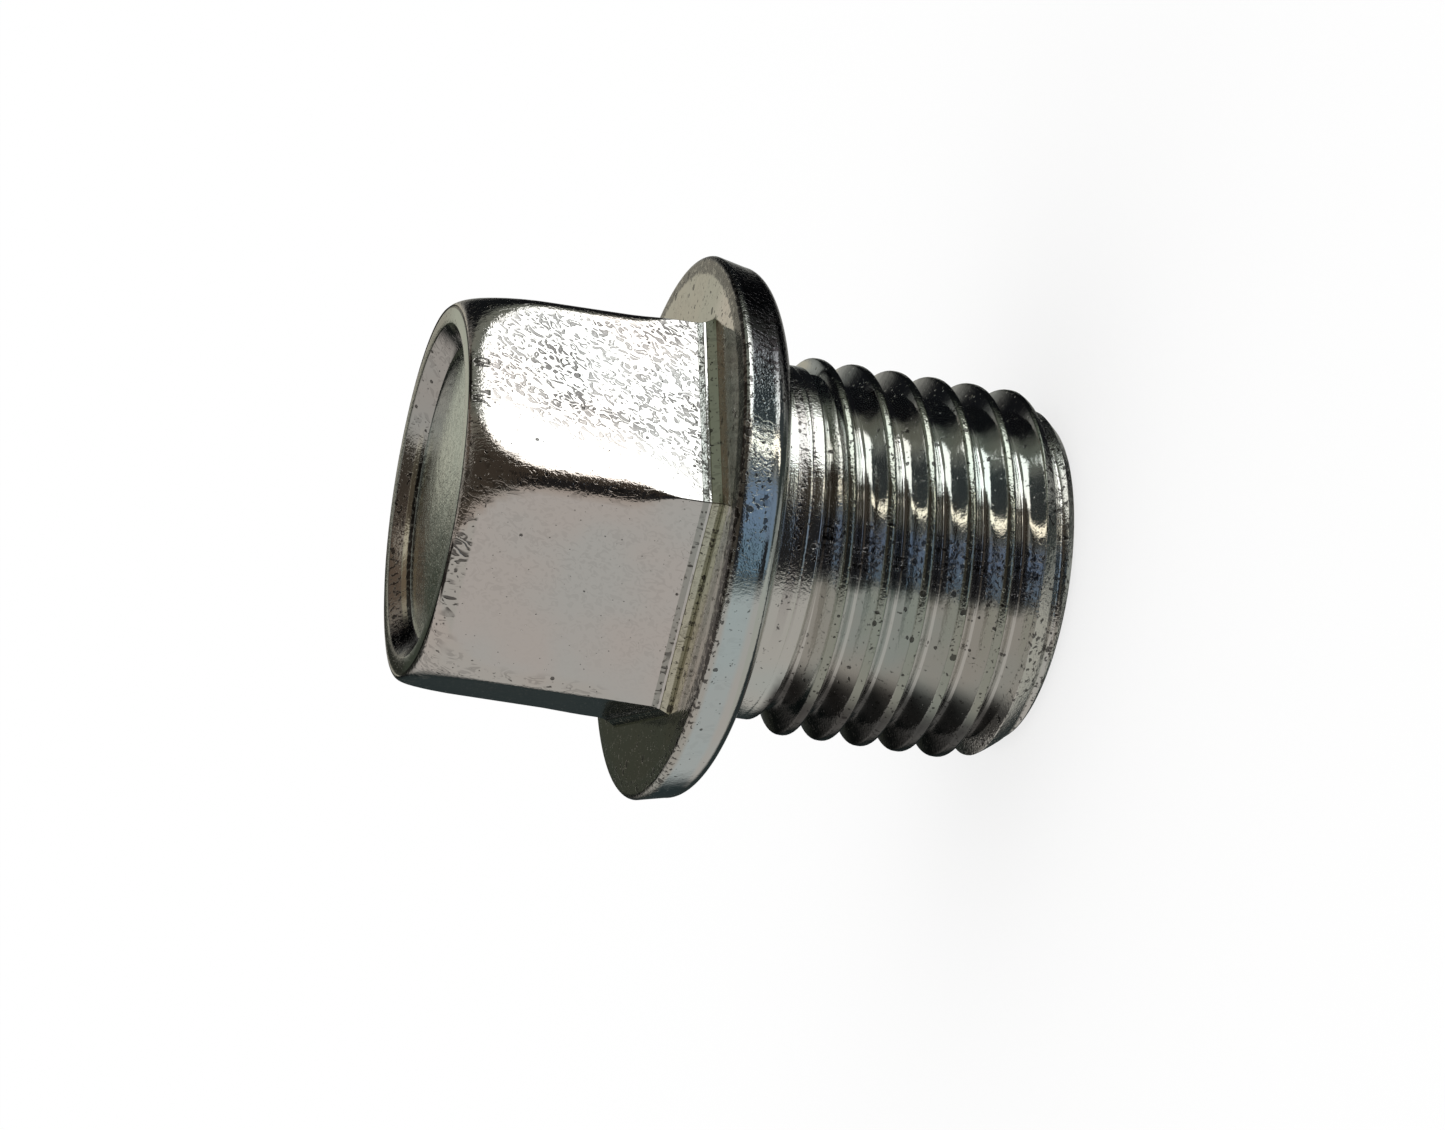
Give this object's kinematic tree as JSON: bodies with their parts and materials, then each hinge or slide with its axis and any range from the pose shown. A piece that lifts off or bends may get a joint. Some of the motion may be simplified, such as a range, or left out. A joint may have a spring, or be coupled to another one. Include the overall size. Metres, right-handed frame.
{
  "type": "drain plug",
  "caption": "Steel screw plug with a hexagon head, a round flange and a threaded shank, which closes a drain hole.",
  "frame": {"origin": "centre of the seat, the flange's flat underside, on the thread's axis", "axes": "+Z along the axis, out of the hole and through the head; +X through an edge of the hexagon"},
  "size_m": [0.02, 0.02, 0.0226],
  "materials": {
    "zinc_plated_steel": "bright zinc plating with a faint green and pink tint, slightly pitted"
  },
  "bodies": {
    "root": {"drain_plug": "zinc_plated_steel"}
  },
  "joints": []
}
